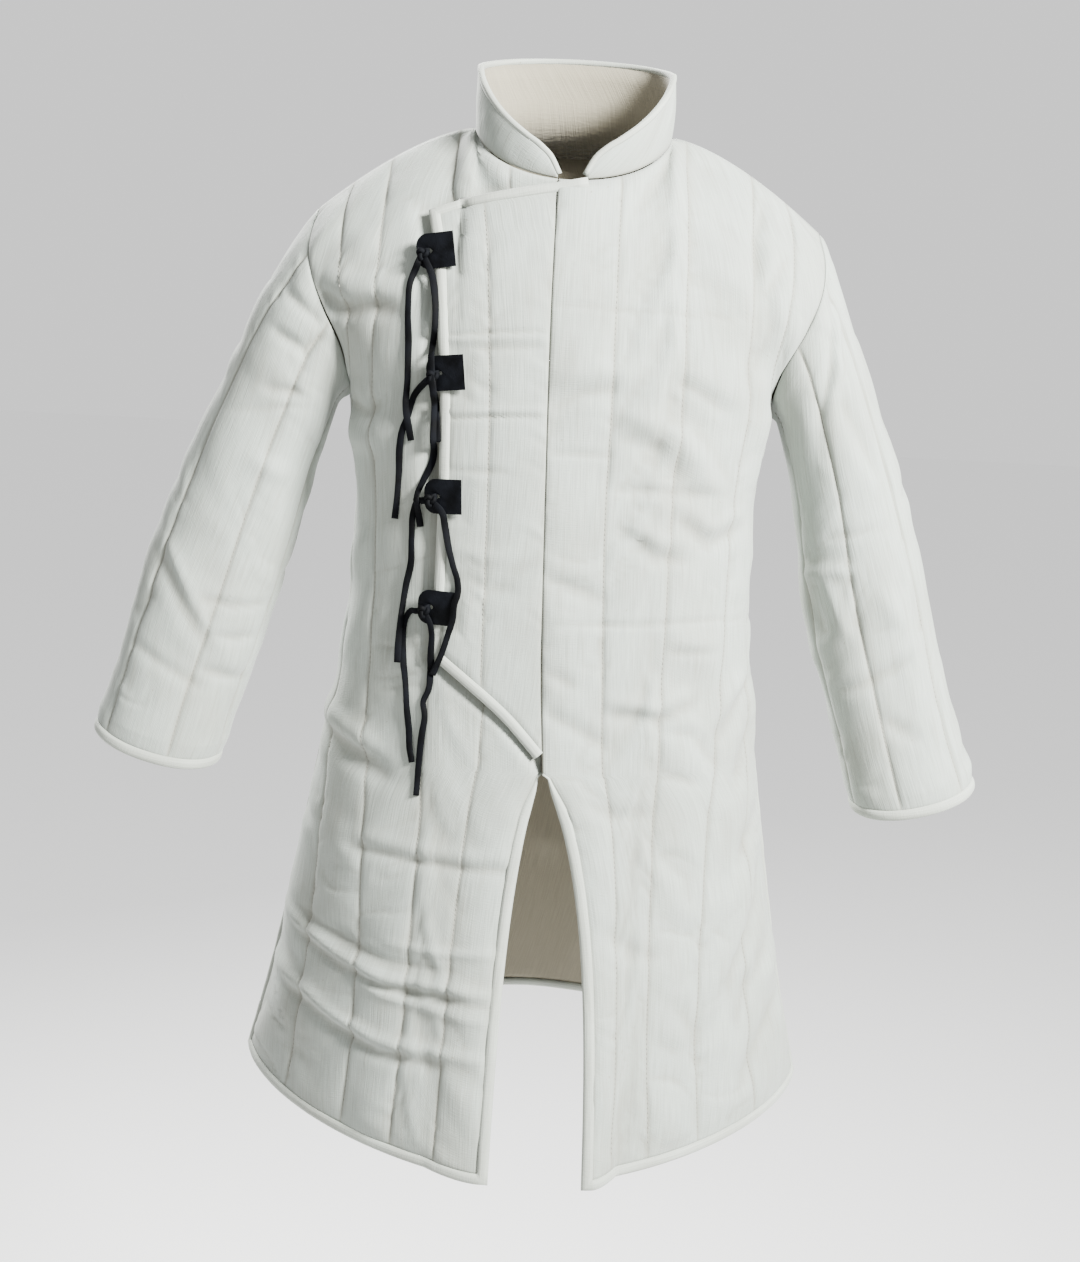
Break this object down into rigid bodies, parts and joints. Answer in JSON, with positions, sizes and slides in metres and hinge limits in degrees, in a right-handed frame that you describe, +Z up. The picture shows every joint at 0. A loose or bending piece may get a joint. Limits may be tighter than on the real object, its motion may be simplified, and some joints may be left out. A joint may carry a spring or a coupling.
{
  "type": "quilted gambeson",
  "caption": "Quilted knee-length arming coat, hollow as if worn: standing collar, long sleeves, flap laced at one side, bound edges, front vent and side slits.",
  "frame": {"origin": "middle of the neck, level with the side neck points, where the wearer's neck and shoulders hold the coat", "axes": "+Z up along the wearer's body, front of the coat towards -Y, +X towards the wearer's left"},
  "size_m": [0.9151, 0.4151, 1.093],
  "materials": {
    "quilted_cotton": "matt natural cotton canvas, quilted over wadding",
    "binding": "matt folded cotton strip",
    "leather": "satin black leather"
  },
  "bodies": {
    "root": {"back": "quilted_cotton", "front_left": "quilted_cotton", "front_right": "quilted_cotton", "overlap": "quilted_cotton", "collar": "quilted_cotton", "sleeve_left": "quilted_cotton", "sleeve_right": "quilted_cotton", "back_binding": "binding", "front_left_binding": "binding", "front_right_binding": "binding", "overlap_binding": "binding", "collar_binding": "binding", "cuff_left_binding": "binding", "cuff_right_binding": "binding", "tab_1": "leather", "tab_2": "leather", "tab_3": "leather", "tab_4": "leather", "knot_1": "leather", "knot_2": "leather", "knot_3": "leather", "knot_4": "leather", "lace_1_long": "leather", "lace_1_short": "leather", "lace_2_long": "leather", "lace_2_short": "leather", "lace_3_long": "leather", "lace_3_short": "leather", "lace_4_long": "leather", "lace_4_short": "leather"}
  },
  "joints": []
}
